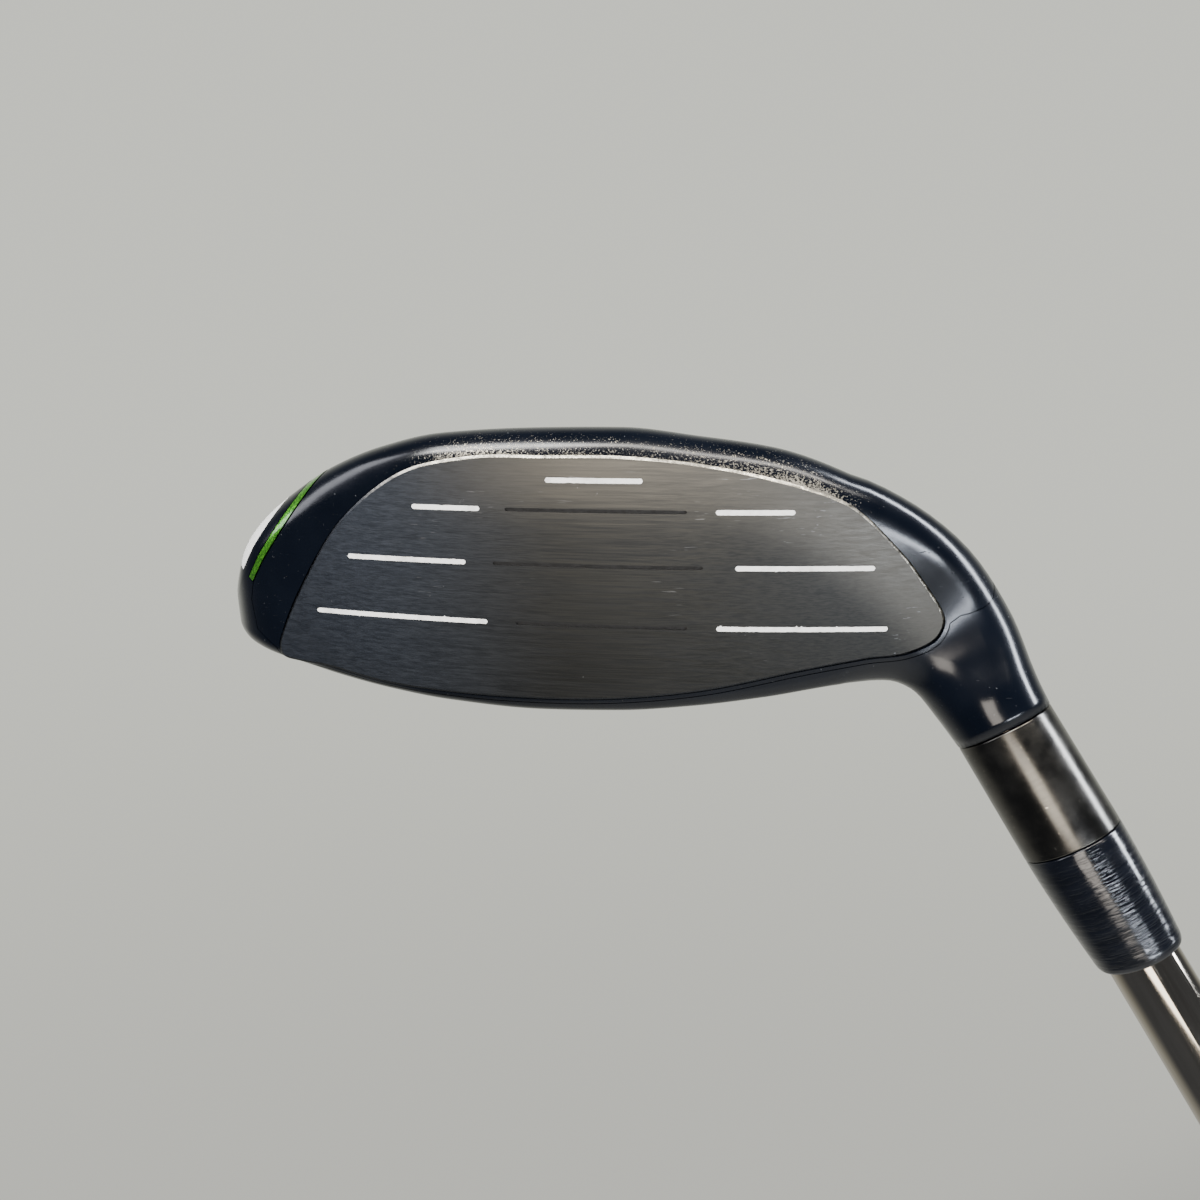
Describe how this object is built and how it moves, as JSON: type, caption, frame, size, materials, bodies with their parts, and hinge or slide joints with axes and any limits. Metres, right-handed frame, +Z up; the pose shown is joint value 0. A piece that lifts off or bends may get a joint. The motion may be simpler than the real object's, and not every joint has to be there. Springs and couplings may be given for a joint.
{
  "type": "hybrid golf club",
  "caption": "Left-handed hybrid golf club: hollow steel head with face cup, bonded hosel with metal collar and black ferrule, stepped steel shaft and rubber grip.",
  "frame": {"origin": "centre of the flat end of the grip cap, on the shaft's axis", "axes": "+Z up the shaft from the grip to the head; -Y is the side that the hitting face looks to; the toe points to -X and up"},
  "size_m": [0.1078, 0.0568, 1.0365],
  "materials": {
    "brushed_face": "horizontally brushed dark steel, worn bright at its edge",
    "black_enamel": "gloss black enamel over cast steel",
    "dark_panel": "satin dark grey",
    "green_accent": "metallic green lacquer",
    "white_panel": "gloss white",
    "steel": "turned stainless steel",
    "rubber": "matt moulded rubber",
    "gunmetal": "satin gunmetal, turned",
    "black_plastic": "polished black with fine turning marks",
    "chrome": "chromed steel",
    "nylon": "natural nylon",
    "label_film": "plain dark film without print",
    "tape": "paper-backed adhesive tape"
  },
  "bodies": {
    "root": {"face_cup": "brushed_face", "body_shell": "black_enamel", "crown_cover": "black_enamel", "sole_panel": "dark_panel", "toe_accent": "green_accent", "toe_badge": "white_panel", "weight_screw": "steel", "screw_seal": "rubber", "hosel_collar": "gunmetal", "ferrule": "black_plastic", "shaft": "chrome", "tip_plug": "nylon", "shaft_label": "label_film", "grip_tape": "tape", "grip_sleeve": "rubber", "grip_cap": "rubber"}
  },
  "joints": []
}
